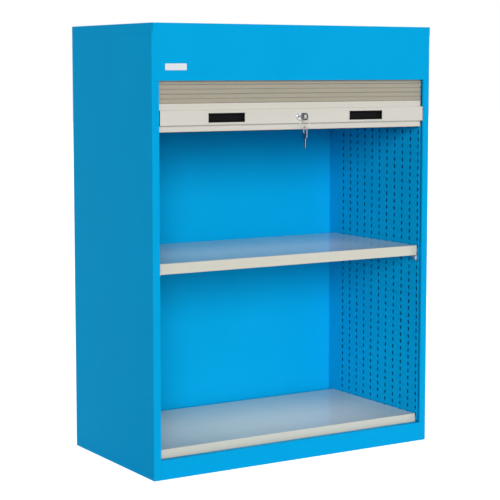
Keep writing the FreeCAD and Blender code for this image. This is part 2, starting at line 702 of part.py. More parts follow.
def lock_bar():
    """Right lock bar: a flat strip from the cam's upper pin to the rail's end."""
    play = 0.5
    low = LOCK_Z + BAR_OFFSET - BAR_HEIGHT / 2
    high = low + BAR_HEIGHT
    start = -BAR_OFFSET - 7.0
    bar = along_x([(BAR_FRONT, low), (BAR_BACK, low), (BAR_BACK, high), (BAR_FRONT, high)], start, BAR_END)
    pin_low = LOCK_Z + BAR_OFFSET - CAM_PIN_RADIUS - play
    pin_high = LOCK_Z + CAM_PIN_REACH + CAM_PIN_RADIUS + play
    half = CAM_PIN_RADIUS + play
    pin_slot = block(-BAR_OFFSET - half, -BAR_OFFSET + half, BAR_FRONT - 1, BAR_BACK + 1, pin_low, pin_high)
    return bar.cut(pin_slot)


def left_lock_bar():
    """The left bar is the right one turned half round the lock's axis."""
    bar = lock_bar()
    bar.rotate(lock_axis(0), Y_AXIS, 180)
    return bar


def key_bow(place, centre, across):
    """Flat head of a key with a long hole, as a face in the key's own plane."""
    u, v = centre
    half_u, half_v = (BOW_LENGTH / 2, BOW_HEIGHT / 2) if across else (BOW_HEIGHT / 2, BOW_LENGTH / 2)
    outer = stadium(u - half_u, u + half_u, v - half_v, v + half_v, place)
    rim_u, rim_v = (8.5, BOW_RIM) if across else (BOW_RIM, 8.5)
    inner = stadium(u - half_u + rim_u, u + half_u - rim_u, v - half_v + rim_v, v + half_v - rim_v, place)
    return pierced(outer, [inner])


def door_key():
    """Key in the lock, head upright, blade in the plug."""
    place = lambda y, z: vec(-KEY_THICK / 2, y, z)
    bow = key_bow(place, (BOW_CENTRE_Y, LOCK_Z), True).extrude(X_AXIS * KEY_THICK)
    start = BOW_CENTRE_Y + BOW_LENGTH / 2 - 1.5
    half = KEY_BLADE_HEIGHT / 2 - 0.2
    side = KEY_THICK / 2 - 0.1
    blade = block(-side, side, start, KEY_BLADE_END - 0.5, LOCK_Z - half, LOCK_Z + half)
    return bow.fuse(blade)


def key_ring():
    """Split ring through the head of the key, hanging across it."""
    return Part.makeTorus(RING_RADIUS, RING_WIRE, vec(0, RING_Y, RING_CENTRE_Z), Y_AXIS)


def spare_key():
    """Second key, hanging by its head from the foot of the ring."""
    ring_foot = RING_CENTRE_Z - RING_RADIUS
    top = ring_foot + RING_WIRE + 0.3 + BOW_RIM
    rim_gap = 8.5 - BOW_RIM
    top += rim_gap
    centre_z = top - BOW_LENGTH / 2
    place = lambda y, z: vec(-KEY_THICK / 2, y, z)
    bow = key_bow(place, (RING_Y, centre_z), False).extrude(X_AXIS * KEY_THICK)
    bow_low = centre_z - BOW_LENGTH / 2
    half = KEY_BLADE_HEIGHT / 2 - 0.2
    blade = along_x([
        (RING_Y - half, bow_low + 1.5), (RING_Y - half, SPARE_TIP_Z + 3), (RING_Y, SPARE_TIP_Z),
        (RING_Y + half, SPARE_TIP_Z + 4), (RING_Y + half, bow_low + 1.5),
    ], -KEY_THICK / 2 + 0.1, KEY_THICK / 2 - 0.1)
    return bow.fuse(blade)


# Small parts

def label_plate():
    """Blank plate riveted to the header."""
    front = FRONT - 1.2
    plate = block(-498.0, -421.0, front - 0.8, front, 1303.0, 1324.0)
    corners = [e for e in plate.Edges if e.BoundBox.YLength > 0.5 and e.BoundBox.DiagonalLength < 1.0]
    return plate.makeFillet(1.5, corners)


def back_rivets():
    """Dome rivets that hold the back panel to the flanges of the walls."""
    rivets = []
    for side in (-1, 1):
        for i in range(7):
            x = side * (SIDE - 10.0)
            z = 60.0 + i * 215.0
            dome = Part.makeSphere(4.2, vec(x, BACK - 2.4, z))
            cut = block(x - 6, x + 6, BACK, BACK + 6, z - 6, z + 6)
            rivets.append(dome.common(cut))
    return group(rivets)


os.makedirs("parts", exist_ok=True)

wall = side_panel()
export("side_panel_right", wall)
export("side_panel_left", mirrored(wall))
export("top_cap", top_cap())
export("header_fascia", header_fascia())
export("back_panel", back_panel())
export("front_plinth", front_plinth())
runner = base_runner()
export("base_runners", group([runner, mirrored(runner)]))
export("base_rear_rail", base_rear_rail())
export("base_middle_runner", base_middle_runner())
lining = perforated_panel()
export("perforated_panel_right", lining)
export("perforated_panel_left", mirrored(lining))
track = guide_track()
export("guide_track_right", track)
export("guide_track_left", mirrored(track))
export("keeper_plates", group([keeper(), left_keeper()]))
export("open_stops", group([open_stop(), mirrored(open_stop())]))
export("base_shelf", shelf(BASE_SHELF_TOP))
export("middle_shelf", shelf(MID_SHELF_TOP))
export("shelf_stiffener", shelf_stiffener())
columns = slot_columns()
clips = [shelf_clip(columns[0], columns[0] + 5.0), shelf_clip(columns[-1], columns[-1])]
export("shelf_clips", group(clips + [mirrored(clip) for clip in clips]))
export("header_floor", header_floor())
bracket = roller_bracket()
export("roller_bracket_right", bracket)
export("roller_bracket_left", mirrored(bracket))
nuts = [bracket_nut(y, z) for y, z in stud_places()]
export("bracket_nuts", group(nuts + [mirrored(nut) for nut in nuts]))
axle_half = SIDE - SHEET
export("roller_axle", rod(AXLE_RADIUS, vec(-axle_half, ROLLER_Y, ROLLER_Z), vec(axle_half, ROLLER_Y, ROLLER_Z)))
export("torsion_spring", torsion_spring())
export("spring_anchors", spring_anchor())
export("label_plate", label_plate())
export("back_rivets", back_rivets())

export("roller_tube", roller_tube())
export("roller_end_plugs", group([roller_plug(), mirrored(roller_plug())]))
export("wound_slats", wound_slats())

export("lead_slats", lead_slats())
export("slat_sliders", slat_sliders())
for number in range(1, BAND_COUNT + 1):
    export(f"curtain_band_{number}", curtain_band(number))
export("bottom_rail", bottom_rail())
cap = rail_end_cap()
export("rail_end_caps", group([cap, mirrored(cap)]))
export("rail_seal", rail_seal())
for name, place in (("left", -PULL_X), ("right", PULL_X)):
    export("pull_cup_" + name, pull_cup(place))
    export("pull_bezel_" + name, pull_bezel(place))
export("lock_housing", lock_housing())
export("lock_nut", lock_nut())
export("lock_barrel", lock_barrel())
export("lock_cam", lock_cam())
export("door_key", door_key())
export("lock_bar_right", lock_bar())
export("lock_bar_left", left_lock_bar())
export("key_ring", key_ring())
export("spare_key", spare_key())

print("bar travel", round(BAR_TRAVEL, 3), "ring foot z", RING_CENTRE_Z - RING_RADIUS)
print("band bottom at rest", BAND_BOTTOM, "slider top", SLIDER_TOP)
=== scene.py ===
# %% [markdown]
# This lesson dresses a roll front tool cabinet. A packed construction model holds the steel carcass,
# the slatted shutter, its roller and the lock at their real size, and it stays where it is. All
# places here are in metres, with the origin on the floor under the middle of the cabinet, +Z up and
# the open front towards -Y. Pieces that show are modelled again with softer edges, and each finish
# is a procedural material.

# %% Load the construction
import bmesh
import bpy
import json
import math
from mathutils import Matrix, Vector


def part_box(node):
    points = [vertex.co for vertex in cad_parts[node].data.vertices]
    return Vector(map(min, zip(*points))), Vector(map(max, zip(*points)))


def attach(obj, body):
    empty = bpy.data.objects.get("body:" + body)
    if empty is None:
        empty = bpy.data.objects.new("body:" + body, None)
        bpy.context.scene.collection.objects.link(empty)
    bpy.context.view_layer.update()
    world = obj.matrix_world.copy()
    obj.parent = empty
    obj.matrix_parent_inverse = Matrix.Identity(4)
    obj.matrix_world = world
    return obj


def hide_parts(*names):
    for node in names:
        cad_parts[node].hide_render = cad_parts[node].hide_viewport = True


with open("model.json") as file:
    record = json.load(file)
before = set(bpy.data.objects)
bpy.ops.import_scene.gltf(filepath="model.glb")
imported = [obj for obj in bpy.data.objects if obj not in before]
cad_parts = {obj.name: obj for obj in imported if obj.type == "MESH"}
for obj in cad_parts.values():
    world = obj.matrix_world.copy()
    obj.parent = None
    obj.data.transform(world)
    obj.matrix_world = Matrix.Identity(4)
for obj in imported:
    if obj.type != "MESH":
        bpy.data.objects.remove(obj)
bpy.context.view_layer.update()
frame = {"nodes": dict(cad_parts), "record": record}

MM = 0.001
print("nodes in the construction:", len(frame["nodes"]))

# %% [markdown]
# The camera stands at the left of the front, a little lower than the lid, and looks slightly down. A
# long lens keeps the upright edges nearly parallel, as in a catalogue picture. A small shift of the
# lens puts the cabinet where it stands in the picture, and it is small enough for any other view to
# keep the whole cabinet in.

# %% Camera
camera_data = bpy.data.cameras.new("catalogue_lens")
camera_data.lens = 112.339
camera_data.sensor_width = 36.0
camera_data.shift_y = -0.04
camera = bpy.data.objects.new("catalogue_camera", camera_data)
bpy.context.scene.collection.objects.link(camera)
camera.location = (-2.84108, -4.57728, 1.30633)
look_down = math.radians(5.887)
look_right = math.radians(31.740)
camera.rotation_euler = (math.radians(90.0) - look_down, 0.0, -look_right)
bpy.context.scene.camera = camera
bpy.context.scene.view_settings.view_transform = "Standard"
print("camera height", round(camera.location.z, 3))

# %% [markdown]
# Every node of a material or of the world is added by one small function. It takes the node's
# settings by name, and its inputs as plain values or as outputs of nodes that come before it. A
# second function turns the hex colours that painters use, which are sRGB, into the linear numbers
# that the renderer counts in.

# %% Nodes and colours
def add(tree, kind, inputs=None, **settings):
    """Adds one node with its settings; an input is a value or the output of another node."""
    node = tree.nodes.new(kind)
    for name, value in settings.items():
        setattr(node, name, value)
    for name, value in (inputs or {}).items():
        if isinstance(value, bpy.types.NodeSocket):
            tree.links.new(value, node.inputs[name])
        else:
            node.inputs[name].default_value = value
    return node


def paint_colour(code):
    """A hex colour as linear red, green, blue and alpha."""
    parts = [int(code[i:i + 2], 16) / 255 for i in (0, 2, 4)]
    linear = [p / 12.92 if p <= 0.04045 else ((p + 0.055) / 1.055) ** 2.4 for p in parts]
    return (*linear, 1.0)


print("mid grey in linear light:", [round(c, 3) for c in paint_colour("808080")])

# %% [markdown]
# A product picture has a white surround. The world is white, strength 1, for what the camera sees
# and for what gloss and glass show, and dimmer for the light that it sheds, so that the main light
# can still shape the cabinet. One function tells the two apart, because the floor needs it too.

# %% World
AMBIENT = 0.25
WHITE = (1.0, 1.0, 1.0, 1.0)


def shown_only(tree):
    """1 for what the camera, a reflection or a clear surface shows, and 0 for light that is shed."""
    path = add(tree, "ShaderNodeLightPath").outputs
    seen = add(tree, "ShaderNodeMath", {0: path["Is Camera Ray"], 1: path["Is Glossy Ray"]},
               operation="MAXIMUM")
    shown = add(tree, "ShaderNodeMath", {0: seen.outputs[0], 1: path["Is Transmission Ray"]},
                operation="MAXIMUM")
    return shown.outputs[0]


world = bpy.data.worlds.new("white_studio")
bpy.context.scene.world = world
world.use_nodes = True
tree = world.node_tree
tree.nodes.clear()
shown = shown_only(tree)
lit = add(tree, "ShaderNodeBackground", {"Color": WHITE, "Strength": AMBIENT})
white = add(tree, "ShaderNodeBackground", {"Color": WHITE, "Strength": 1.0})
both = add(tree, "ShaderNodeMixShader", {0: shown, 1: lit.outputs[0], 2: white.outputs[0]})
add(tree, "ShaderNodeOutputWorld", {"Surface": both.outputs[0]})
print("world light", AMBIENT)

# %% [markdown]
# The main light stands between the camera's line and the middle of the front, and a little higher
# than the camera. So the left wall and the perforated lining at the right both get about half of
# what the front gets, and the left stile, the rail and the shelf cast soft shadows on the back
# panel. It is a sun lamp of a wide angle, which stands in for a very large soft box far away and
# lights the back panel as strongly as the front. A weaker one from behind at the right keeps the
# sides that the picture doesn't show from going dark, and reaches nothing that it does show.

# %% Main light and back light
SOFTNESS = math.radians(24.0)


def shine(name, kind, place, target, energy, **settings):
    """One lamp at a place, turned to a target."""
    data = bpy.data.lights.new(name, kind)
    data.energy = energy
    for setting, value in settings.items():
        setattr(data, setting, value)
    lamp = bpy.data.objects.new(name, data)
    bpy.context.scene.collection.objects.link(lamp)
    lamp.location = place
    way = Vector(target) - lamp.location
    lamp.rotation_euler = way.to_track_quat("-Z", "Y").to_euler()
    print(name, "distance", round(way.length, 2))


MIDDLE = (0.0, 0.0, 0.75)
MAIN_PLACE = (-2.3, -4.89, 2.0)
MAIN_STRENGTH = 2.45
BACK_PLACE = (4.0, 3.2, 3.2)
BACK_STRENGTH = 1.1
shine("main_light", "SUN", MAIN_PLACE, MIDDLE, MAIN_STRENGTH, angle=SOFTNESS)
shine("back_light", "SUN", BACK_PLACE, MIDDLE, BACK_STRENGTH, angle=SOFTNESS)

# %% [markdown]
# Level light only grazes the shelves. So a small soft lamp hangs under the ceiling of each bay and
# shines down on the shelf below it, as in a showroom. Its beam is narrow, so that it leaves the back
# panel alone, and neither the camera nor a reflection sees it.

# %% Bay lamps
BAY_LAMP = {"shape": "RECTANGLE", "size": 0.85, "size_y": 0.2, "spread": math.radians(80.0)}
BAY_LAMP_Y = -0.08
LAMP_BELOW_SHELF = 0.01
UPPER_BAY_WATTS = 0.31
LOWER_BAY_WATTS = 0.6
shelf_low, shelf_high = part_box("middle_shelf")
bays = {
    "upper_bay_lamp": (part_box("bottom_rail")[0].z, shelf_high.z, UPPER_BAY_WATTS),
    "lower_bay_lamp": (shelf_low.z - LAMP_BELOW_SHELF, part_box("base_shelf")[1].z, LOWER_BAY_WATTS),
}
for name, (ceiling, ground, watts) in bays.items():
    shine(name, "AREA", (0.0, BAY_LAMP_Y, ceiling), (0.0, BAY_LAMP_Y, ground), watts, **BAY_LAMP)
    bpy.data.objects[name].visible_camera = False
    bpy.data.objects[name].visible_glossy = False

# %% [markdown]
# The floor is matt and pale. Where the camera or a reflection sees it, some white light is added to
# it, so that it melts into the surround and yet keeps the cabinet's own soft shadow.

# %% Floor
FLOOR_HALF = 30.0
FLOOR_LIFT = 0.8
FLOOR_COLOUR = (0.8, 0.8, 0.8, 1.0)
bpy.ops.object.select_all(action="DESELECT")
bpy.ops.mesh.primitive_plane_add(size=2 * FLOOR_HALF, location=(0.0, 0.0, 0.0))
floor = bpy.context.active_object
floor.name = "studio_floor"
floor_paint = bpy.data.materials.new("pale_studio_floor")
floor_paint.use_nodes = True
tree = floor_paint.node_tree
tree.nodes.clear()
strength = add(tree, "ShaderNodeMath", {0: shown_only(tree), 1: FLOOR_LIFT}, operation="MULTIPLY")
matt = add(tree, "ShaderNodeBsdfDiffuse", {"Color": FLOOR_COLOUR})
glow = add(tree, "ShaderNodeEmission", {"Color": WHITE, "Strength": strength.outputs[0]})
total = add(tree, "ShaderNodeAddShader", {0: matt.outputs[0], 1: glow.outputs[0]})
add(tree, "ShaderNodeOutputMaterial", {"Surface": total.outputs[0]})
floor.data.materials.append(floor_paint)
print("floor", 2 * FLOOR_HALF, "m wide")

# %% [markdown]
# The finishes share one recipe. A real coat is never quite even: its colour drifts a little over a
# hand's width, its gloss varies, and its surface has a fine relief of its own. So each material
# starts from one colour, drifts towards a second one in soft clouds, and gets its relief from a bump
# at the grain's real size. A relief finer than about 3 mm can't show in a picture of the whole
# cabinet, and it is there for close views. In the Mix node, inputs 6 and 7 are the two colours, and
# output 2 is the colour between them.

# %% Finish recipe
GLOSS_DRIFT = 0.15


def finish(name, colour, drift, roughness, grain, relief, clouds, stretch=(1.0, 1.0, 1.0), **shader):
    """A surface whose drift is its second colour. Grain, relief and clouds are in millimetres."""
    material = bpy.data.materials.new(name)
    material.use_nodes = True
    tree = material.node_tree
    tree.nodes.clear()
    place = add(tree, "ShaderNodeTexCoord")
    drawn = add(tree, "ShaderNodeMapping", {"Vector": place.outputs["Object"], "Scale": stretch})
    cloud = add(tree, "ShaderNodeTexNoise",
                {"Vector": drawn.outputs[0], "Scale": 1.0 / (clouds * MM), "Detail": 3.0})
    colours = add(tree, "ShaderNodeMix",
                  {0: cloud.outputs["Fac"], 6: paint_colour(colour), 7: paint_colour(drift)},
                  data_type="RGBA")
    fine = add(tree, "ShaderNodeTexNoise",
               {"Vector": drawn.outputs[0], "Scale": 1.0 / (grain * MM), "Detail": 2.0})
    gloss = add(tree, "ShaderNodeMapRange",
                {"Value": cloud.outputs["Fac"], "To Min": roughness * (1 - GLOSS_DRIFT),
                 "To Max": roughness * (1 + GLOSS_DRIFT)})
    bump = add(tree, "ShaderNodeBump",
               {"Height": fine.outputs["Fac"], "Strength": 1.0, "Distance": relief * MM})
    surface = add(tree, "ShaderNodeBsdfPrincipled",
                  {"Base Color": colours.outputs[2], "Roughness": gloss.outputs[0],
                   "Normal": bump.outputs[0]})
    for socket, value in shader.items():
        surface.inputs[socket.replace("_", " ")].default_value = value
    add(tree, "ShaderNodeOutputMaterial", {"Surface": surface.outputs[0]})
    return material

# %% [markdown]
# The carcass is sheet steel, electrostatically powder coated and baked. The powder melts into an
# even satin film with a faint orange peel of a few millimetres, which breaks up reflections. The
# blue is so pure that white glare would wash it out, so the coat's specular level is low.

# %% Blue powder coat
blue_powder_coat = finish("blue_powder_coat", "02A0DA", "08A7E2", roughness=0.42, grain=3.0,
                          relief=0.015, clouds=260.0, Specular_IOR_Level=0.01)
print("finish", blue_powder_coat.name)

# %% [markdown]
# The shelves have a smoother pearl grey powder coat. At the low angle of the picture its gloss
# mirrors the blue back panel, which tints the shelf tops.

# %% Shelf coat
shelf_coat = finish("pearl_grey_powder_coat", "CAC8BA", "D1CFC2", roughness=0.08, grain=4.0,
                    relief=0.004, clouds=220.0, Specular_IOR_Level=0.5, IOR=1.5)
print("finish", shelf_coat.name)

# %% [markdown]
# Slats and rail are lacquered aluminium. The slats are coated as flat strip, before they are rolled to
# shape, and the rail after it is extruded. The lacquer is thin, so the drawing marks of the metal
# show through it as faint streaks along the length. The noise is stretched along X for that. The
# slats are taupe and the rail is cream.

# %% Slat and rail lacquer
ALONG_THE_SLAT = (0.04, 1.0, 1.0)
slat_lacquer = finish("taupe_coil_lacquer", "9C9686", "A8A191", roughness=0.4, grain=1.6, relief=0.012,
                      clouds=9.0, stretch=ALONG_THE_SLAT, Specular_IOR_Level=0.4)
rail_lacquer = finish("cream_rail_lacquer", "CCC9C0", "D4D1C9", roughness=0.36, grain=2.2, relief=0.01,
                      clouds=24.0, stretch=ALONG_THE_SLAT, Specular_IOR_Level=0.4)
print("finishes", slat_lacquer.name, rail_lacquer.name)

# %% [markdown]
# Plastics: the finger cups are black ABS with a fine spark-eroded texture from the mould, the
# roller's bearings are dark nylon, which is smoother and a little waxy, and the seals are black
# rubber, which is the dullest of the three. The glides at the ends of the slats are nylon, coloured
# the dark blue that the tracks' insides show in shade: painted shade.

# %% Plastics and rubber
black_abs = finish("black_moulded_abs", "0B0B0D", "111113", roughness=0.55, grain=0.8, relief=0.03,
                   clouds=40.0, IOR=1.54, Specular_IOR_Level=0.08)
dark_nylon = finish("dark_nylon", "1B1F23", "24292E", roughness=0.38, grain=1.2, relief=0.01,
                    clouds=30.0, IOR=1.53)
# The dark blue of the glides is painted shade, the colour of the tracks' insides in shade.
glide_nylon_painted_shade = finish("blue_glide_nylon_painted_shade", "0A4666", "0C5074", roughness=0.4, grain=1.2, relief=0.01,
                     clouds=30.0, IOR=1.53)
black_rubber = finish("black_rubber", "101010", "1A1A1A", roughness=0.8, grain=0.7, relief=0.02,
                      clouds=25.0, Specular_IOR_Level=0.3)
print("finishes", black_abs.name, dark_nylon.name, glide_nylon_painted_shade.name, black_rubber.name)

# %% [markdown]
# Bare metals: brackets, axle and lock bars are zinc plated, bluish and slightly blotchy. The spring
# is oiled dark steel. The lock's collar is polished chrome, and the keys are nickel on brass, duller
# and worn by hands and the ring. The key in the lock gets a darker copy of the nickel, which is
# painted shade. A metal keeps the shader's own IOR and takes its colour from the base colour. The
# blank label is lacquered sheet metal, as white as such a plate is.

# %% Metals
zinc_plate = finish("zinc_plate", "A9AEB6", "C2C4C6", roughness=0.34, grain=2.0, relief=0.008,
                    clouds=14.0, Metallic=1.0)
spring_steel = finish("oiled_spring_steel", "3A3835", "4B4843", roughness=0.4, grain=1.5, relief=0.008,
                      clouds=20.0, Metallic=1.0)
chrome_plate = finish("chrome_plate", "D9DADC", "E4E5E6", roughness=0.12, grain=3.0, relief=0.003,
                      clouds=12.0, Metallic=1.0)
nickel_plate = finish("nickel_plate", "B4B8BC", "CDD0D2", roughness=0.28, grain=1.2, relief=0.01,
                      clouds=6.0, Metallic=1.0)
# A darker copy of the nickel for the key in the lock: painted shade.
painted_shade_nickel = finish("painted_shade_nickel_plate", "55595E", "73777B", roughness=0.35, grain=1.2, relief=0.015,
                     clouds=5.0, Metallic=1.0)
label_lacquer = finish("white_label_lacquer", "D9DDE1", "E0E3E6", roughness=0.25, grain=2.0,
                       relief=0.004, clouds=30.0)
for metal in (zinc_plate, spring_steel, chrome_plate, nickel_plate, painted_shade_nickel, label_lacquer):
    print("finish", metal.name)

# %% [markdown]
# Before any modelling, every node of the construction gets the finish of its slot. So nothing is left
# plain where its own mesh is shown, as on the two perforated linings.

# %% Finishes on the construction
FINISH_OF_SLOT = {
    "blue_enamel": blue_powder_coat,
    "cream_enamel": shelf_coat,
    "beige_slat": slat_lacquer,
    "cream_rail": rail_lacquer,
    "zinc_steel": zinc_plate,
    "black_plastic": black_abs,
    "dark_nylon": dark_nylon,
    "black_rubber": black_rubber,
    "white_plate": label_lacquer,
    "lock_chrome": chrome_plate,
    "key_nickel": nickel_plate,
}
slot_of_node = {part["node"]: part["material_slot"] for part in frame["record"]["subparts"]}
bodies = frame["record"]["behaviour"]["bodies"]
body_of_node = {node: body for body, nodes in bodies.items() for node in nodes}
for node, piece in frame["nodes"].items():
    for material_slot in piece.material_slots:
        material_slot.material = FINISH_OF_SLOT[slot_of_node[node]]
print("nodes with a finish:", len(slot_of_node))

# %% [markdown]
# Modelling by hand means: add a primitive, open it in edit mode, select some faces or edges, and
# apply a tool to them. These helpers do the clicking. The first selects one piece and nothing else,
# and pick opens a piece with only those faces, edges or points selected that pass a test of their
# middle and their direction. A direction counts as one along an axis when that part of it is more
# than MOSTLY, or STRAIGHT next to a chamfer.

# %% Selecting
TINY = 0.05 * MM
MOSTLY = 0.9
STRAIGHT = 0.99


def alone(piece):
    """Leaves edit mode and selects this piece only."""
    if bpy.context.mode != "OBJECT":
        bpy.ops.object.mode_set(mode="OBJECT")
    bpy.ops.object.select_all(action="DESELECT")
    bpy.context.view_layer.objects.active = piece
    piece.select_set(True)


def pick(piece, kind, test):
    """Opens a piece in edit mode and selects the faces, edges or points that pass the test."""
    alone(piece)
    bpy.ops.object.mode_set(mode="EDIT")
    bpy.ops.mesh.select_mode(type=kind)
    bpy.ops.mesh.select_all(action="DESELECT")
    mesh = bmesh.from_edit_mesh(piece.data)
    if kind == "FACE":
        found = [f for f in mesh.faces if test(f.calc_center_median(), f.normal)]
    elif kind == "EDGE":
        ends = [(e, e.verts[0].co, e.verts[1].co) for e in mesh.edges]
        found = [e for e, a, b in ends if test((a + b) / 2, (b - a).normalized())]
    else:
        found = [v for v in mesh.verts if test(v.co, v.normal)]
    for part in found:
        part.select_set(True)
    mesh.select_flush_mode()
    bmesh.update_edit_mesh(piece.data)
    return len(found)


def everything(at, way):
    """A test that all pass."""
    return True

# %% [markdown]
# Bevels and wall thicknesses come from modifiers that are applied at once. Before an edge is eased,
# points that lie on each other are merged, so that the two faces beside the edge share it.

# %% Easing and closing
SAME_POINT = 0.001 * MM
SHARP_EDGE = math.radians(30.0)


def modify(piece, kind, **settings):
    """Adds one modifier and applies it."""
    alone(piece)
    modifier = piece.modifiers.new(kind.lower(), kind)
    for name, value in settings.items():
        setattr(modifier, name, value)
    bpy.ops.object.modifier_apply(modifier=modifier.name)


def ease_edges(piece, width):
    """Rounds every sharp edge."""
    modify(piece, "BEVEL", width=width, segments=2, limit_method="ANGLE", angle_limit=SHARP_EDGE)


def close_up(piece):
    """Merges doubled points and turns the faces outwards."""
    pick(piece, "FACE", everything)
    bpy.ops.mesh.remove_doubles(threshold=SAME_POINT)
    bpy.ops.mesh.normals_make_consistent(inside=False)

# %% [markdown]
# A finished piece is shaded smooth except at its sharp edges, gets its finish, rides on the body of
# the construction that it belongs to, and takes the place of its node there.

# %% Handing a piece over
SMOOTHING = 32.0


def hand_over(piece, node, material=None, angle=SMOOTHING):
    """Smooths a piece, gives it its finish and lets it stand for its node on the node's body."""
    alone(piece)
    bpy.ops.object.shade_smooth_by_angle(angle=math.radians(angle))
    modify(piece, "WEIGHTED_NORMAL", keep_sharp=True)
    slot = slot_of_node[node]
    piece.data.materials.clear()
    piece.data.materials.append(material or FINISH_OF_SLOT[slot])
    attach(piece, body_of_node[node])
    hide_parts(node)
    print(piece.name, "faces", len(piece.data.polygons))

# %% [markdown]
# Folded sheet has no razor edges: a press brake leaves a small radius at each fold, shears leave a
# burr that is taken off, and the powder builds up into a soft edge. So a copy of each sheet is
# merged into one skin, its flat faces are cleared of needless edges, and every edge is eased by
# about half a millimetre. The same is done half as wide to turned and plated parts, where the eased
# edge catches the light.

# %% Softened copies of the sheets and fittings
SHEET_EASE = 0.45 * MM
FITTING_EASE = 0.25 * MM
SAME_CORNER = 0.005 * MM
STILL_FLAT = math.radians(0.5)
# The glides take the dark blue nylon, whose colour is painted shade of the tracks.
OTHER_FINISH = {"keeper_plates": blue_powder_coat, "slat_sliders": glide_nylon_painted_shade}


def one_skin(node, name):
    """A copy of a node without doubled points and without needless edges on its flat faces."""
    copy = bpy.data.objects.new(name, frame["nodes"][node].data.copy())
    bpy.context.scene.collection.objects.link(copy)
    pick(copy, "FACE", everything)
    bpy.ops.mesh.remove_doubles(threshold=SAME_CORNER)
    bpy.ops.mesh.select_all(action="SELECT")
    bpy.ops.mesh.dissolve_limited(angle_limit=STILL_FLAT)
    return copy


def softened(node, name, ease):
    """A copy of a node with eased edges."""
    copy = one_skin(node, name)
    ease_edges(copy, ease)
    hand_over(copy, node, OTHER_FINISH.get(node))


SHEETS = {
    "side_panel_right": "wall_right", "side_panel_left": "wall_left", "header_fascia": "fascia_sheet",
    "back_panel": "back_sheet", "front_plinth": "plinth_sheet", "base_runners": "runner_angles",
    "base_rear_rail": "rear_channel", "base_middle_runner": "middle_channel",
    "guide_track_right": "track_right", "guide_track_left": "track_left",
    "shelf_stiffener": "hat_channel", "header_floor": "header_tray",
}
FITTINGS = {
    "keeper_plates": "striker_plates", "open_stops": "stop_blocks", "shelf_clips": "clip_hooks",
    "roller_bracket_right": "bracket_right", "roller_bracket_left": "bracket_left",
    "bracket_nuts": "nuts_and_studs", "roller_axle": "axle", "spring_anchors": "anchor_collars",
    "roller_tube": "winding_tube", "roller_end_plugs": "tube_bearings", "wound_slats": "last_turn",
    "slat_sliders": "slider_blocks", "rail_end_caps": "end_covers", "rail_seal": "foot_seal",
    "lock_nut": "ring_nut", "lock_cam": "cam_disc", "lock_bar_right": "bolt_right",
    "lock_bar_left": "bolt_left",
}
for node, name in SHEETS.items():
    softened(node, name, SHEET_EASE)
for node, name in FITTINGS.items():
    softened(node, name, FITTING_EASE)

# %% [markdown]
# The lid and the shelves are shallow trays. Their tops are folded down with a wider radius than the
# walls have, because they are thicker sheet, and along the front of a shelf that fold shows as a
# light line. So those edges are picked and rounded before the rest is eased. The lid's front edge is
# left, since it meets the fascia, but its side lips are drawn forward to it, so that no dark slit
# stays at the corners.

# %% Lid and shelves
TRAY_BEND = 2.2 * MM
TRAY_EASE = 0.3 * MM
LIP_SETBACK = 4.0 * MM


def folded_tray(node, name, is_shelf):
    """A tray whose top edges are rounded folds."""
    low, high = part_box(node)
    tray = one_skin(node, name)
    if not is_shelf:
        pick(tray, "VERT", lambda at, way: low.y + TINY < at.y < low.y + LIP_SETBACK)
        bpy.ops.transform.resize(value=(1.0, 0.0, 1.0), center_override=(0.0, low.y, 0.0))
        close_up(tray)

    def is_fold(at, along):
        at_side = min(abs(at.x - low.x), abs(at.x - high.x)) < TINY and abs(along.y) > MOSTLY
        at_end = abs(at.y - high.y) < TINY or is_shelf and abs(at.y - low.y) < TINY
        return at.z > high.z - TINY and (at_side or at_end and abs(along.x) > MOSTLY)

    folds = pick(tray, "EDGE", is_fold)
    bpy.ops.mesh.bevel(offset=TRAY_BEND, segments=4, affect="EDGES")
    print(name, "folds", folds)
    ease_edges(tray, TRAY_EASE)
    hand_over(tray, node)


folded_tray("top_cap", "lid_tray", False)
folded_tray("middle_shelf", "upper_shelf", True)
folded_tray("base_shelf", "lower_shelf", True)

# %% [markdown]
# The remaining pieces start from primitives. A block is a cube between two corners, and its place is
# moved into its mesh at once. It is sliced along planes, what is selected is pushed, and what repeats
# is modelled once and copied, each copy with a mesh of its own.

# %% Blocks, slices and copies
def settle(name):
    """Names the new piece and moves its place and turn into its mesh."""
    piece = bpy.context.active_object
    piece.name = name
    bpy.ops.object.transform_apply(location=True, rotation=True, scale=True)
    return piece


def block(name, low, high):
    """A cube primitive between two corners."""
    alone(floor)
    middle = [(a + b) / 2 for a, b in zip(low, high)]
    size = [b - a for a, b in zip(low, high)]
    bpy.ops.mesh.primitive_cube_add(size=1.0, location=middle, scale=size)
    return settle(name)


def slice_at(piece, point, normal):
    """Cuts edges into a piece along a plane."""
    pick(piece, "FACE", everything)
    bpy.ops.mesh.bisect(plane_co=point, plane_no=normal)


def push(offset):
    """Moves what is selected."""
    bpy.ops.transform.translate(value=offset)


def duplicate(piece, name, offset=(0.0, 0.0, 0.0)):
    """A copy with its own mesh, moved by an offset."""
    alone(piece)
    bpy.ops.object.duplicate(linked=False)
    bpy.context.active_object.location = offset
    return settle(name)


def join(pieces, name):
    """Makes several pieces one."""
    alone(pieces[0])
    for piece in pieces:
        piece.select_set(True)
    bpy.ops.object.join()
    pieces[0].name = name
    return pieces[0]

# %% [markdown]
# A slat is a strip of lacquered aluminium, roll formed into a shallow channel: a face with a groove
# along its middle, eased top and bottom edges, and hooks that hang each slat in the next. A block is
# sliced along the groove and the edges, these lines are pushed in, the open back is deleted, and
# Solidify gives the skin its thickness. One slat is made for each stack, and copies of it fill the
# stack. The eight slats above the rail, some of which show, come first.

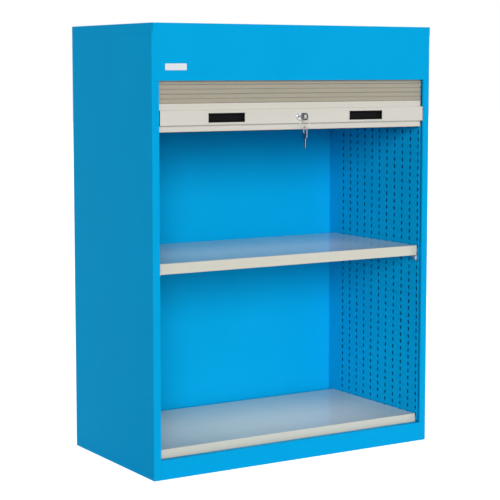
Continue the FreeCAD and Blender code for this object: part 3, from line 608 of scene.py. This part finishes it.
# %% Slats above the rail
SLAT_SKIN = 1.2 * MM
SLAT_GAP = 0.4 * MM
SLAT_EASE_HEIGHT = 2.2 * MM
SLAT_EASE_DEPTH = 1.6 * MM
SLAT_ROUNDING = 0.4 * MM
GROOVE_HALF = 1.5 * MM
DEEPEST_GROOVE = 2.4 * MM
GROOVE_SHARE = 0.3
slats_low, slats_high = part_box("lead_slats")
SLAT_COUNT = 8
SLAT_PITCH = (slats_high.z - slats_low.z + SLAT_GAP) / SLAT_COUNT


def roll_formed_slat(name, front, depth, low, half_length):
    """One slat with its bottom edge at a height."""
    high = low + SLAT_PITCH - SLAT_GAP
    middle = (low + high) / 2
    groove_depth = min(DEEPEST_GROOVE, GROOVE_SHARE * depth)
    piece = block(name, (-half_length, front, low), (half_length, front + depth, high))
    for height in (low + SLAT_EASE_HEIGHT, middle - GROOVE_HALF, middle, middle + GROOVE_HALF,
                   high - SLAT_EASE_HEIGHT):
        slice_at(piece, (0.0, 0.0, height), (0.0, 0.0, 1.0))
    pick(piece, "EDGE", lambda at, along: at.y < front + TINY and abs(at.z - middle) < TINY)
    push((0.0, groove_depth, 0.0))
    pick(piece, "EDGE", lambda at, along: at.y < front + TINY
         and (at.z < low + TINY or at.z > high - TINY))
    push((0.0, SLAT_EASE_DEPTH, 0.0))
    pick(piece, "EDGE", lambda at, along: abs(along.x) > MOSTLY and at.y < front + depth - TINY)
    bpy.ops.mesh.bevel(offset=SLAT_ROUNDING, segments=2, affect="EDGES")
    pick(piece, "FACE", lambda at, way: way.y > MOSTLY or abs(way.x) > MOSTLY)
    bpy.ops.mesh.delete(type="FACE")
    modify(piece, "SOLIDIFY", thickness=SLAT_SKIN, offset=-1.0)
    return piece


def slat_stack(node, name, count):
    """The slats of one node, hung one above another."""
    low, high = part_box(node)
    first = roll_formed_slat(name, low.y, high.y - low.y, low.z, high.x)
    others = [duplicate(first, f"{name}_{i}", (0.0, 0.0, SLAT_PITCH * i)) for i in range(1, count)]
    hand_over(join([first] + others, name), node)


slat_stack("lead_slats", "front_slats", SLAT_COUNT)
print("slat pitch", round(SLAT_PITCH / MM, 2), "mm")

# %% [markdown]
# The rest of the shutter is stored in the header in six flat stacks of five slats. They are the same
# slats, pressed shallower so that one stack passes behind the next when the shutter comes down.

# %% Stored slats
STACK_COUNT = 6
STACK_SLATS = 5
for number in range(1, STACK_COUNT + 1):
    slat_stack(f"curtain_band_{number}", f"stored_slats_{number}", STACK_SLATS)

# %% [markdown]
# The bottom rail is an aluminium extrusion: a flat back plate, a raised hollow zone that carries the
# lock and the finger cups, a bead along its foot and a groove under its top lip. The plate is sliced
# at these heights and the zones are drawn out, and the raised zone's long edges are rounded like the
# die's.

# %% Bottom rail
RAISED_LOW = 20.0 * MM
RAISED_HIGH = 69.0 * MM
RAISED_END = 1.0 * MM
BEAD_HEIGHT = 4.0 * MM
BEAD_DEPTH = 1.2 * MM
LIP_HEIGHT = 7.0 * MM
LIP_GROOVE_HEIGHT = 1.6 * MM
LIP_GROOVE_DEPTH = 1.0 * MM
RAISED_ROUNDING = 2.5 * MM
RAIL_EASE = 0.35 * MM
rail_low, rail_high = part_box("bottom_rail")
plate_front = slats_low.y
rail = block("front_rail", (rail_low.x, plate_front, rail_low.z), rail_high)
raised_bottom = rail_low.z + RAISED_LOW
raised_top = rail_low.z + RAISED_HIGH
raised_half = rail_high.x - RAISED_END
bead_top = rail_low.z + BEAD_HEIGHT
lip_bottom = rail_high.z - LIP_HEIGHT
groove_bottom = lip_bottom - LIP_GROOVE_HEIGHT
whole_length = rail_high.x + TINY
for height in (bead_top, raised_bottom, raised_top, groove_bottom, lip_bottom):
    slice_at(rail, (0.0, 0.0, height), (0.0, 0.0, 1.0))
for side in (-raised_half, raised_half):
    slice_at(rail, (side, 0.0, 0.0), (1.0, 0.0, 0.0))


def draw_out(offset):
    """Extrudes the selected faces by an offset."""
    bpy.ops.mesh.extrude_region_move(TRANSFORM_OT_translate={"value": offset})


def rail_front(low, high, half):
    """A test for the faces of the rail's front between two heights."""
    return lambda at, way: way.y < -MOSTLY and low < at.z < high and abs(at.x) < half


pick(rail, "FACE", rail_front(raised_bottom, raised_top, raised_half))
draw_out((0.0, rail_low.y - plate_front, 0.0))
pick(rail, "FACE", rail_front(rail_low.z, bead_top, whole_length))
draw_out((0.0, -BEAD_DEPTH, 0.0))
pick(rail, "FACE", rail_front(groove_bottom, lip_bottom, whole_length))
draw_out((0.0, LIP_GROOVE_DEPTH, 0.0))
pick(rail, "EDGE", lambda at, along: at.y < rail_low.y + TINY and abs(along.x) > MOSTLY)
bpy.ops.mesh.bevel(offset=RAISED_ROUNDING, segments=5, affect="EDGES")
print("rail height", round((rail_high.z - rail_low.z) / MM, 1), "mm")

# %% [markdown]
# Two windows are cut into the raised zone for the finger cups. Four slices mark each window, and its
# face is drawn inwards to the depth of the cup.

# %% Windows in the rail
PULLS = ("left", "right")
for side in PULLS:
    cup_low, cup_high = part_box("pull_cup_" + side)
    for x in (cup_low.x, cup_high.x):
        slice_at(rail, (x, 0.0, 0.0), (1.0, 0.0, 0.0))
    for z in (cup_low.z, cup_high.z):
        slice_at(rail, (0.0, 0.0, z), (0.0, 0.0, 1.0))
for side in PULLS:
    cup_low, cup_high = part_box("pull_cup_" + side)
    window = pick(rail, "FACE", lambda at, way: way.y < -MOSTLY and cup_low.x < at.x < cup_high.x
                  and cup_low.z < at.z < cup_high.z and at.y < rail_low.y + TINY)
    draw_out((0.0, cup_high.y - cup_low.y, 0.0))
    print("window faces", window)
close_up(rail)
ease_edges(rail, RAIL_EASE)
hand_over(rail, "bottom_rail")

# %% [markdown]
# A finger cup is a moulded tray. Its open front is inset by the wall's thickness and drawn inwards,
# the corners at its floor are rounded as a mould needs, and three ribs stand across the floor so
# that fingers find a hold. A lip along the top of the mouth is what one lifts by.

# %% Finger cups
CUP_WALL = 1.5 * MM
CUP_CORNER = 3.0 * MM
CUP_LIP_HEIGHT = 3.0 * MM
CUP_LIP_DEPTH = 1.5 * MM
CUP_EASE = 0.3 * MM
RIB_COUNT = 3
RIB_HEIGHT = 2.0 * MM
RIB_DEPTH = 1.6 * MM


def finger_cup(side):
    """One cup in the rail's face."""
    low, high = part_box("pull_cup_" + side)
    cup = block("finger_cup_" + side, low, high)
    pick(cup, "FACE", lambda at, way: way.y < -MOSTLY)
    bpy.ops.mesh.inset(thickness=CUP_WALL, depth=0.0)
    floor_y = high.y - CUP_WALL
    draw_out((0.0, floor_y - low.y, 0.0))
    pick(cup, "EDGE", lambda at, along: abs(at.y - floor_y) < TINY)
    bpy.ops.mesh.bevel(offset=CUP_CORNER, segments=4, affect="EDGES")
    step = (high.z - low.z) / (RIB_COUNT + 1)
    for i in range(1, RIB_COUNT + 1):
        for edge in (-RIB_HEIGHT / 2, RIB_HEIGHT / 2):
            slice_at(cup, (0.0, 0.0, low.z + step * i + edge), (0.0, 0.0, 1.0))
    for i in range(1, RIB_COUNT + 1):
        height = low.z + step * i
        pick(cup, "FACE", lambda at, way: abs(at.y - floor_y) < TINY
             and abs(at.z - height) < RIB_HEIGHT / 2)
        draw_out((0.0, -RIB_DEPTH, 0.0))
    lip_top = high.z - CUP_WALL
    lip = block("lip", (low.x + CUP_WALL, low.y, lip_top - CUP_LIP_HEIGHT),
                (high.x - CUP_WALL, low.y + CUP_LIP_DEPTH, lip_top))
    cup = join([cup, lip], "finger_cup_" + side)
    close_up(cup)
    ease_edges(cup, CUP_EASE)
    hand_over(cup, "pull_cup_" + side)


for side in PULLS:
    finger_cup(side)

# %% [markdown]
# Each cup has a thin frame around it, with round corners and in the rail's cream. The corners of a
# flat block are rounded, front and back are inset by the frame's width, and a bridge between the two
# inner faces opens it.

# %% Frames of the cups
FRAME_CORNER = 4.0 * MM
FRAME_EASE = 0.25 * MM


def cup_frame(side):
    """The frame round one cup."""
    node = "pull_bezel_" + side
    low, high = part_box(node)
    cup_low, cup_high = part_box("pull_cup_" + side)
    width = cup_low.x - low.x
    piece = block("cup_frame_" + side, low, high)
    pick(piece, "EDGE", lambda at, along: abs(along.y) > MOSTLY)
    bpy.ops.mesh.bevel(offset=FRAME_CORNER, segments=6, affect="EDGES")
    pick(piece, "FACE", lambda at, way: abs(way.y) > MOSTLY)
    bpy.ops.mesh.inset(thickness=width, depth=0.0)
    bpy.ops.mesh.bridge_edge_loops()
    close_up(piece)
    ease_edges(piece, FRAME_EASE)
    hand_over(piece, node)


for side in PULLS:
    cup_frame(side)

# %% [markdown]
# The lock is a cylinder lock. Its chromed collar has a wide chamfer that catches the light as a
# bright ring, and a sunk seat for the turning plug. The threaded body behind it goes through the
# rail.

# %% Lock collar
FRONT_TO_BACK = (math.radians(90.0), 0.0, 0.0)
PLUG_RADIUS = 7.0 * MM
PLUG_SEAT = 0.8 * MM
PLUG_GAP = 0.05 * MM
COLLAR_CHAMFER = 1.8 * MM
BODY_RADIUS = 9.0 * MM
TURNED_EASE = 0.2 * MM


def disc(name, radius, middle, length, turn, sides=48):
    """A cylinder primitive about its middle."""
    alone(floor)
    bpy.ops.mesh.primitive_cylinder_add(vertices=sides, radius=radius, depth=length, location=middle,
                                        rotation=turn)
    return settle(name)


housing_low, housing_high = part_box("lock_housing")
lock_z = (housing_low.z + housing_high.z) / 2
collar_radius = (housing_high.z - housing_low.z) / 2
collar_back = rail_low.y
collar = disc("lock_collar", collar_radius, (0.0, (housing_low.y + collar_back) / 2, lock_z),
              collar_back - housing_low.y, FRONT_TO_BACK, sides=64)
pick(collar, "EDGE", lambda at, along: at.y < housing_low.y + TINY)
bpy.ops.mesh.bevel(offset=COLLAR_CHAMFER, segments=4, affect="EDGES")
pick(collar, "FACE", lambda at, way: way.y < -STRAIGHT)
bpy.ops.mesh.inset(thickness=collar_radius - COLLAR_CHAMFER - PLUG_RADIUS - PLUG_GAP, depth=0.0)
draw_out((0.0, PLUG_SEAT, 0.0))
body = disc("lock_body", BODY_RADIUS, (0.0, (collar_back + housing_high.y) / 2, lock_z),
            housing_high.y - collar_back, FRONT_TO_BACK)
collar = join([collar, body], "lock_collar")
close_up(collar)
ease_edges(collar, TURNED_EASE)
hand_over(collar, "lock_housing")

# %% [markdown]
# The plug turns in the collar and has a narrow slot for the key. Two slices each way mark the slot's
# mouth in its front, and that face is drawn in deeper than anyone can see past the key.

# %% Lock plug
SLOT_HALF_WIDTH = 1.2 * MM
SLOT_HALF_HEIGHT = 4.1 * MM
SLOT_DEPTH = 14.0 * MM
barrel_low, barrel_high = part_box("lock_barrel")
plug = disc("lock_plug", PLUG_RADIUS, (0.0, (barrel_low.y + barrel_high.y) / 2, lock_z),
            barrel_high.y - barrel_low.y, FRONT_TO_BACK)
for x in (-SLOT_HALF_WIDTH, SLOT_HALF_WIDTH):
    slice_at(plug, (x, 0.0, 0.0), (1.0, 0.0, 0.0))
for z in (-SLOT_HALF_HEIGHT, SLOT_HALF_HEIGHT):
    slice_at(plug, (0.0, 0.0, lock_z + z), (0.0, 0.0, 1.0))
pick(plug, "FACE", lambda at, way: way.y < -MOSTLY and abs(at.x) < SLOT_HALF_WIDTH
     and abs(at.z - lock_z) < SLOT_HALF_HEIGHT)
draw_out((0.0, SLOT_DEPTH, 0.0))
close_up(plug)
ease_edges(plug, TURNED_EASE)
hand_over(plug, "lock_barrel")

# %% [markdown]
# Both keys are stamped from nickel plated brass strip: an oval head with a hole near its end, which
# the ring passes through, and a blade with cuts along one edge. One key is modelled where it sits in
# the lock. Its head is a disc whose far half is pushed away, and a bridge between the two inset sides
# opens the hole.

# %% Key head
KEY_THICK = 2.2 * MM
BOW_HEIGHT = 24.0 * MM
BOW_LENGTH = 41.0 * MM
BOW_RIM = 5.2 * MM
HOLE_SHORTENING = 0.6
SIDE_TO_SIDE = (0.0, math.radians(90.0), 0.0)
key_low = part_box("door_key")[0]
bow_near = key_low.y + BOW_HEIGHT / 2
key = disc("key_in_lock", BOW_HEIGHT / 2, (0.0, bow_near, lock_z), KEY_THICK, SIDE_TO_SIDE)
pick(key, "VERT", lambda at, way: at.y > bow_near + TINY)
push((0.0, BOW_LENGTH - BOW_HEIGHT, 0.0))
pick(key, "FACE", lambda at, way: abs(way.x) > MOSTLY)
bpy.ops.mesh.inset(thickness=BOW_RIM, depth=0.0)
bpy.ops.transform.resize(value=(1.0, HOLE_SHORTENING, 1.0),
                         center_override=(0.0, key_low.y + BOW_RIM, lock_z))
bpy.ops.mesh.bridge_edge_loops()
close_up(key)
print("key head", BOW_LENGTH / MM, "mm long")

# %% [markdown]
# The blade is a block that reaches a little into the head. It is sliced at even steps, the points
# along its lower edge are pushed up by different depths, which makes the cuts, and its tip is
# tapered.

# %% Key blade
BLADE_LENGTH = 31.0 * MM
BLADE_HALF = 3.8 * MM
BLADE_THINNER = 0.1 * MM
BLADE_IN_HEAD = 2.0 * MM
TIP_TAPER = 0.45
KEY_EASE = 0.2 * MM
CUT_STEP = 2.6 * MM
CUT_DEPTHS = (1.2 * MM, 0.4 * MM, 1.8 * MM, 0.8 * MM, 1.5 * MM, 0.6 * MM)
CUTS_LENGTH = CUT_STEP * (len(CUT_DEPTHS) + 0.5)
blade_start = key_low.y + BOW_LENGTH - BLADE_IN_HEAD
blade_end = key_low.y + BOW_LENGTH + BLADE_LENGTH
blade_half_thick = KEY_THICK / 2 - BLADE_THINNER
blade = block("blade", (-blade_half_thick, blade_start, lock_z - BLADE_HALF),
              (blade_half_thick, blade_end, lock_z + BLADE_HALF))
cuts_start = blade_end - CUTS_LENGTH
for i in range(len(CUT_DEPTHS) + 1):
    slice_at(blade, (0.0, cuts_start + CUT_STEP * i, 0.0), (0.0, 1.0, 0.0))
for i, depth in enumerate(CUT_DEPTHS):
    y = cuts_start + CUT_STEP * i
    pick(blade, "VERT", lambda at, way: abs(at.y - y) < TINY and at.z < lock_z - BLADE_HALF + TINY)
    push((0.0, 0.0, depth))
pick(blade, "VERT", lambda at, way: at.y > blade_end - TINY)
bpy.ops.transform.resize(value=(1.0, 1.0, TIP_TAPER), center_override=(0.0, blade_end, lock_z))
key = join([key, blade], "key_in_lock")
ease_edges(key, KEY_EASE)
print("key length", round((blade_end - key_low.y) / MM, 1), "mm")

# %% [markdown]
# The other key of the pair hangs on the ring. It is a copy of the first, turned to point down and
# moved so that its head hangs where the ring holds it. The one in the lock is painted darker, as
# painted shade.

# %% Its twin on the ring
spare_low, spare_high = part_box("spare_key")
spare = duplicate(key, "key_on_ring")
spare.rotation_euler = (math.radians(-90.0), 0.0, 0.0)
settle("key_on_ring")
top = max(v.co.z for v in spare.data.vertices)
depths = [v.co.y for v in spare.data.vertices]
middle_y = (max(depths) + min(depths)) / 2
spare.location = (0.0, (spare_low.y + spare_high.y) / 2 - middle_y, spare_high.z - top)
settle("key_on_ring")
# Painted shade: the key in the lock takes the darker copy of the nickel.
hand_over(key, "door_key", painted_shade_nickel)
hand_over(spare, "spare_key")
print("spare key hangs from", round(spare_high.z, 4))

# %% [markdown]
# A split ring is hardened wire wound in two close turns. A small circle is drawn beside the axis,
# and the Screw modifier carries it round twice while it moves one wire's width sideways. The ends
# are then closed.

# %% Key ring
RING_TURNS = 2
WIRE_SMOOTHING = 60.0
ring_low, ring_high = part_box("key_ring")
wire_radius = (ring_high.y - ring_low.y) / (2 * RING_TURNS)
ring_centre = (ring_low + ring_high) / 2
ring_radius = (ring_high.z - ring_low.z) / 2 - wire_radius


def wound_wire(name, wire, radius, pitch, turns, steps, sides, axis, centre):
    """A helix of round wire about an axis, with closed ends, moved from the origin to its centre."""
    alone(floor)
    beside = (radius, 0.0, 0.0) if axis == "Y" else (0.0, radius, 0.0)
    bpy.ops.mesh.primitive_circle_add(vertices=sides, radius=wire, location=beside)
    piece = settle(name)
    modify(piece, "SCREW", axis=axis, angle=2 * math.pi, screw_offset=pitch, iterations=turns,
           steps=steps, render_steps=steps, use_smooth_shade=True)
    pick(piece, "EDGE", lambda at, along: False)
    bpy.ops.mesh.select_non_manifold(extend=False)
    bpy.ops.mesh.edge_face_add()
    close_up(piece)
    axis_number = "XYZ".index(axis)
    along = [v.co[axis_number] for v in piece.data.vertices]
    middle = Vector()
    middle[axis_number] = (min(along) + max(along)) / 2
    piece.location = centre - middle
    alone(piece)
    return settle(name)


ring = wound_wire("split_ring", wire_radius, ring_radius, pitch=2 * wire_radius, turns=RING_TURNS,
                  steps=64, sides=10, axis="Y", centre=ring_centre)
hand_over(ring, "key_ring", angle=WIRE_SMOOTHING)

# %% [markdown]
# The spring that balances the shutter lies inside the winding tube, anchored to the axle by two
# collars. It is round wire wound nearly turn on turn, so it is the same kind of helix as the ring,
# with many more turns.

# %% Torsion spring
SPRING_WIRE = 1.5 * MM
SPRING_PITCH = 3.4 * MM
spring_low, spring_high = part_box("torsion_spring")
spring_centre = (spring_low + spring_high) / 2
coil_radius = (spring_high.z - spring_low.z) / 2 - SPRING_WIRE
coil_turns = int((spring_high.x - spring_low.x - 2 * SPRING_WIRE) / SPRING_PITCH) - 1
spring = wound_wire("balance_spring", SPRING_WIRE, coil_radius, pitch=SPRING_PITCH, turns=coil_turns,
                    steps=16, sides=6, axis="X", centre=spring_centre)
hand_over(spring, "torsion_spring", spring_steel, angle=WIRE_SMOOTHING)
print("spring turns", coil_turns)

# %% [markdown]
# The header carries a small plate for the owner's own marking. It is left blank. Its field is sunk
# by a fraction of a millimetre inside a raised border.

# %% Label plate
BORDER = 1.4 * MM
LABEL_CORNER = 1.5 * MM
FIELD_DEPTH = 0.3 * MM
LABEL_EASE = 0.1 * MM
label_low, label_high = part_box("label_plate")
label = block("blank_label", label_low, label_high)
pick(label, "EDGE", lambda at, along: abs(along.y) > MOSTLY)
bpy.ops.mesh.bevel(offset=LABEL_CORNER, segments=4, affect="EDGES")
pick(label, "FACE", lambda at, way: way.y < -MOSTLY)
bpy.ops.mesh.inset(thickness=BORDER, depth=0.0)
draw_out((0.0, FIELD_DEPTH, 0.0))
close_up(label)
ease_edges(label, LABEL_EASE)
hand_over(label, "label_plate")

# %% [markdown]
# Dome rivets hold the back panel, and are coated with it. One is half of a flattened sphere, cut off
# at the panel's face, and the other thirteen are copies.

# %% Back rivets
RIVET_RADIUS = 4.0 * MM
RIVET_COLUMNS = 2
RIVET_ROWS = 7
rivets_low, rivets_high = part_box("back_rivets")
back_face = rivets_low.y
dome = rivets_high.y - back_face
first_z = rivets_low.z + RIVET_RADIUS
row_step = (rivets_high.z - rivets_low.z - 2 * RIVET_RADIUS) / (RIVET_ROWS - 1)
rivet_x = rivets_high.x - RIVET_RADIUS
alone(floor)
bpy.ops.mesh.primitive_uv_sphere_add(segments=16, ring_count=8, radius=1.0,
                                     location=(-rivet_x, back_face, first_z),
                                     scale=(RIVET_RADIUS, dome, RIVET_RADIUS))
rivet = settle("panel_rivets")
pick(rivet, "FACE", everything)
bpy.ops.mesh.bisect(plane_co=(0.0, back_face, 0.0), plane_no=(0.0, 1.0, 0.0), use_fill=True,
                    clear_inner=True)
places = [(column, row) for column in range(RIVET_COLUMNS) for row in range(RIVET_ROWS)]
rivet_copies = [duplicate(rivet, f"rivet_{column}_{row}", (2 * rivet_x * column, 0.0, row_step * row))
                for column, row in places[1:]]
rivets = join([rivet] + rivet_copies, "panel_rivets")
close_up(rivets)
hand_over(rivets, "back_rivets", blue_powder_coat)
print("rivets", len(places))
